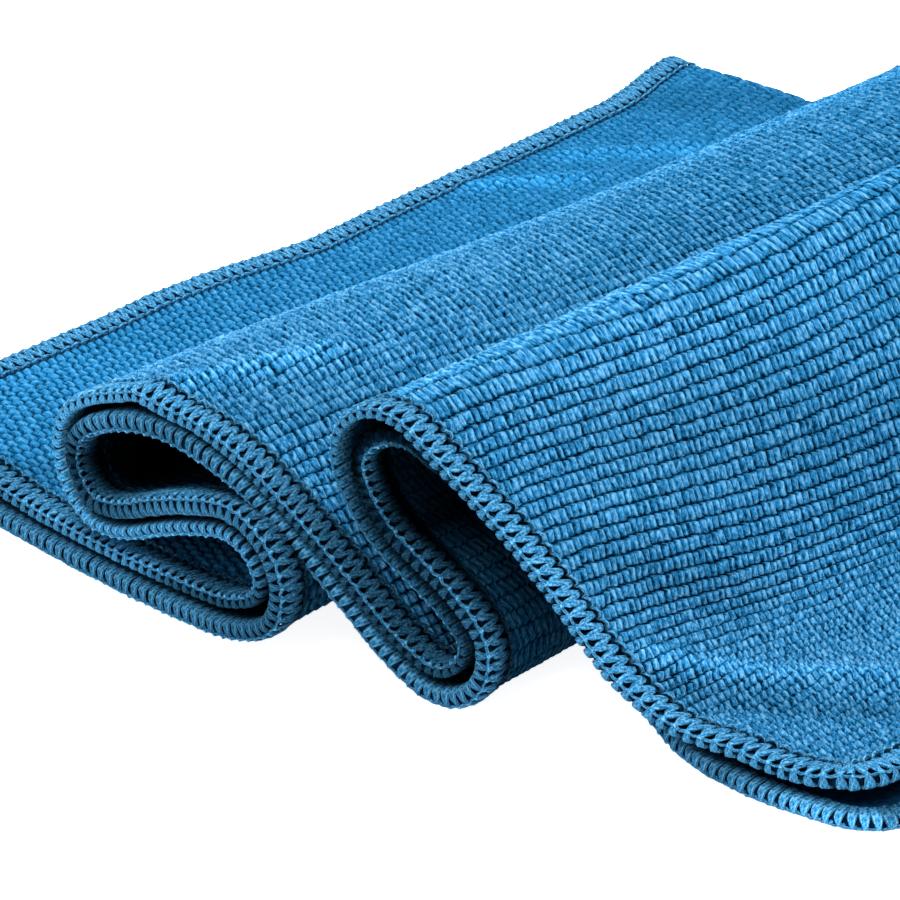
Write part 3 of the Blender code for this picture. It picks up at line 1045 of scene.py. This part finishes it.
def knit_material(name, contrast):
    """Pads of a ribbed knit, with painted shade where they part, and fine cross fibres."""
    nodes = Nodes(name)
    math_node = nodes.math
    a, b = nodes.coordinates()
    bend = math_node("SUBTRACT", nodes.noise(nodes.combine(a, b), BEND_SCALE[0], 1.0), 0.5)
    shove = math_node("SUBTRACT", nodes.noise(nodes.combine(b, a), BEND_SCALE[1], 1.0), 0.5)
    rib = math_node("FLOOR", a)
    odd = math_node("MULTIPLY", math_node("MODULO", rib, 2.0), 0.5)
    step = math_node("ADD", b, odd)
    pad_random = nodes.random(nodes.combine(rib, math_node("FLOOR", step)))

    def off_middle(value, nudge, amount):
        """How far off a pad's middle a place is: 1 at its border."""
        middle = math_node("SUBTRACT", math_node("FRACT", value), 0.5)
        nudged = math_node("MULTIPLY_ADD", middle, 2.0, math_node("MULTIPLY", nudge, amount))
        return math_node("ABSOLUTE", nudged)

    across = math_node("POWER", off_middle(a, bend, ACROSS_BEND), ACROSS_SHARPNESS)
    lengthwise = math_node("POWER", off_middle(step, shove, ALONG_BEND), ALONG_SHARPNESS)
    gaps = math_node("MULTIPLY_ADD", across, ACROSS_DARKNESS, lengthwise)
    pad = math_node("SUBTRACT", 1.0, gaps)
    inward = math_node("MULTIPLY", math_node("SUBTRACT", b, BRUSHED_FROM), 1.0 / BRUSHED_REACH)
    inward = math_node("MINIMUM", math_node("MAXIMUM", inward, 0.0), 1.0)
    pad = math_node("MULTIPLY_ADD", math_node("SUBTRACT", BRUSHED_TONE, pad),
                    math_node("MULTIPLY", inward, BRUSHED_SHARE), pad)

    fibres = nodes.noise(nodes.scaled(a, b, FIBRES), 1.0, 3.0, 0.7)
    patches = nodes.noise(nodes.scaled(a, b, PATCHES), PATCH_SCALE, 3.0, 0.6)
    tone = math_node("MULTIPLY_ADD", pad, PAD_TONE * contrast, DARK_TONE - DARK_SHIFT * contrast)
    for value, amount in (
        (fibres, FIBRE_TONE), (pad_random, PAD_RANDOM_TONE), (patches, PATCH_TONE),
    ):
        more = math_node("MULTIPLY", math_node("SUBTRACT", value, 0.5), amount * contrast)
        tone = math_node("ADD", tone, more)
    nodes.lit(nodes.ramp(tone, (0.0, HOLE_SHADE_COLOUR), (0.2, DEEP_SHADE_COLOUR), (0.5, CLOTH_COLOUR),
                         (0.85, PALE_COLOUR)))
    height = math_node("ADD", pad, math_node("MULTIPLY", fibres, FIBRE_BUMP))
    nodes.bump(height, KNIT_BUMP, BUMP_STRENGTH * contrast)
    soft_fibre(nodes)
    return nodes.material


def thread_material():
    """Soft many-stranded yarn: fine strands run along each thread, with painted highlights on
    their crowns and painted shade between them.
    """
    nodes = Nodes("overlock_thread")
    run, turn = nodes.coordinates()
    twisted = nodes.math("MULTIPLY_ADD", run, TWIST, turn)
    strand = nodes.math("ABSOLUTE", nodes.math("SINE", nodes.math("MULTIPLY", twisted, math.pi)))
    fuzz = nodes.noise(nodes.scaled(turn, run, FUZZ), 1.0, 3.0, 0.75)
    tone = nodes.math("MULTIPLY_ADD", fuzz, FUZZ_TONE, YARN_SHIFT)
    tone = nodes.math("MULTIPLY_ADD", strand, STRAND_TONE, tone)
    nodes.lit(nodes.ramp(tone, (0.25, DEEP_SHADE_COLOUR), (0.62, THREAD_COLOUR), (1.0, GLINT_COLOUR)))
    strands = nodes.math("MULTIPLY", strand, STRAND_BUMP)
    nodes.bump(nodes.math("MULTIPLY_ADD", fuzz, FUZZ_BUMP, strands), YARN_BUMP, BUMP_STRENGTH)
    soft_fibre(nodes)
    return nodes.material


def core_material():
    """The inner face of the sheet, painted dark as the shade between the plies."""
    nodes = Nodes("microfibre_inside")
    a, b = nodes.coordinates()
    speckle = nodes.noise(nodes.scaled(a, b, SPECKLE), 1.0)
    nodes.lit(nodes.ramp(speckle, (0.3, HOLE_SHADE_COLOUR), (0.8, INSIDE_SHADE_COLOUR)))
    nodes.bump(speckle, SPECKLE_BUMP)
    soft_fibre(nodes)
    return nodes.material


# ---- The floor, the light and the camera.

WHITE = (1.0, 1.0, 1.0, 1.0)
FLOOR_SIZE = 8.0                   # metres
FLOOR_HEIGHT = -0.0002
FLOOR_COLOUR = (0.92, 0.92, 0.92, 1.0)
FLOOR_ROUGHNESS = 0.9
FLOOR_GLOW = 0.88                  # keeps the floor white round the cloth
ROOM_LIGHT = 0.85

KEY_AZIMUTH = 20.0
KEY_ELEVATION = 64.0
KEY_DISTANCE = 1.2
KEY_TARGET = (0.0, 0.0, 0.02)
KEY_SIZE = 0.6
KEY_POWER = 22.0

CAMERA_AZIMUTH = 45.2
CAMERA_ELEVATION = 29.3
CAMERA_DISTANCE = 680.0            # millimetres
CAMERA_TARGET = (67.5, 66.4, 0.0)
CAMERA_LENS = 169.2
CAMERA_SENSOR = 36.0
CAMERA_CLIP = 0.01


def towards(azimuth, elevation):
    """The direction from the cloth to a place at these angles, in degrees."""
    a, e = math.radians(azimuth), math.radians(elevation)
    return np.array([math.sin(a) * math.cos(e), -math.cos(a) * math.cos(e), math.sin(e)])


def stage():
    """A plain pale floor."""
    bpy.ops.mesh.primitive_plane_add(size=FLOOR_SIZE, location=(0.0, 0.0, FLOOR_HEIGHT))
    floor = bpy.context.object
    floor.name = "floor"
    nodes = Nodes("floor")
    nodes.shader.inputs["Base Color"].default_value = FLOOR_COLOUR
    nodes.shader.inputs["Roughness"].default_value = FLOOR_ROUGHNESS
    nodes.shader.inputs["Emission Color"].default_value = WHITE
    nodes.shader.inputs["Emission Strength"].default_value = FLOOR_GLOW
    floor.data.materials.append(nodes.material)


def lights():
    """An even white room and one wide soft light from above."""
    world = bpy.data.worlds.new("studio")
    world.use_nodes = True
    background = world.node_tree.nodes["Background"]
    background.inputs["Color"].default_value = WHITE
    background.inputs["Strength"].default_value = ROOM_LIGHT
    bpy.context.scene.world = world
    data = bpy.data.lights.new("key", "AREA")
    data.shape = "DISK"
    data.size = KEY_SIZE
    data.energy = KEY_POWER
    key = bpy.data.objects.new("key", data)
    key.location = np.array(KEY_TARGET) + towards(KEY_AZIMUTH, KEY_ELEVATION) * KEY_DISTANCE
    direction = Vector(KEY_TARGET) - key.location
    key.rotation_euler = direction.to_track_quat("-Z", "Y").to_euler()
    bpy.context.scene.collection.objects.link(key)
    bpy.context.scene.view_settings.view_transform = "Standard"


def camera():
    """The view that the cloth is built for."""
    data = bpy.data.cameras.new("camera")
    data.lens = CAMERA_LENS
    data.sensor_width = CAMERA_SENSOR
    data.clip_start = CAMERA_CLIP
    eye = bpy.data.objects.new("camera", data)
    away = towards(CAMERA_AZIMUTH, CAMERA_ELEVATION) * CAMERA_DISTANCE
    eye.location = (CAMERA_TARGET - FOOTPRINT_MIDDLE + away) * MM
    eye.rotation_euler = (math.radians(90.0 - CAMERA_ELEVATION), 0.0, math.radians(CAMERA_AZIMUTH))
    bpy.context.scene.collection.objects.link(eye)
    bpy.context.scene.camera = eye


# ---- The pieces.

KNIT_PIECES = (
    # name,               ribs,       stitches,   columns,       rows,     relief, pressed
    ("knit_pocket",       (40, 72),   (0, 128),   PAD_COLUMNS,   2,        1.0,    False),
    ("knit_first_fold",   (72, 128),  (0, 128),   PAD_COLUMNS,   PAD_ROWS, 1.0,    False),
    ("knit_second_fold",  (128, 182), (0, 128),   PAD_COLUMNS,   PAD_ROWS, 1.0,    False),
    ("knit_underside",    (0, 182),   (128, 210), PLAIN_COLUMNS, 1,        0.4,    False),
    ("knit_under_front",  (0, 182),   (210, 248), PAD_COLUMNS,   2,        0.4,    False),
    ("knit_flat_end",     (0, 40),    (0, 128),   PAD_COLUMNS,   PAD_ROWS, 1.0,    True),
)


def main():
    """Make all the pieces and say what they stand for."""
    knit = knit_material("microfibre_knit", 1.0)
    pressed_knit = knit_material("pressed_knit", PRESSED_CONTRAST)
    thread = thread_material()
    faces = [knit_piece(*row, pressed_knit if row[-1] else knit) for row in KNIT_PIECES]
    edges = [
        overlock("overlock_upper_front", ("upper_front",), thread),
        overlock("overlock_lower_front", ("lower_front",), thread),
        overlock("overlock_ends", ("right_end", "left_end"), thread),
    ]
    sheet = core_piece(core_material())
    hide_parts("cloth")
    stage()
    lights()
    camera()


main()
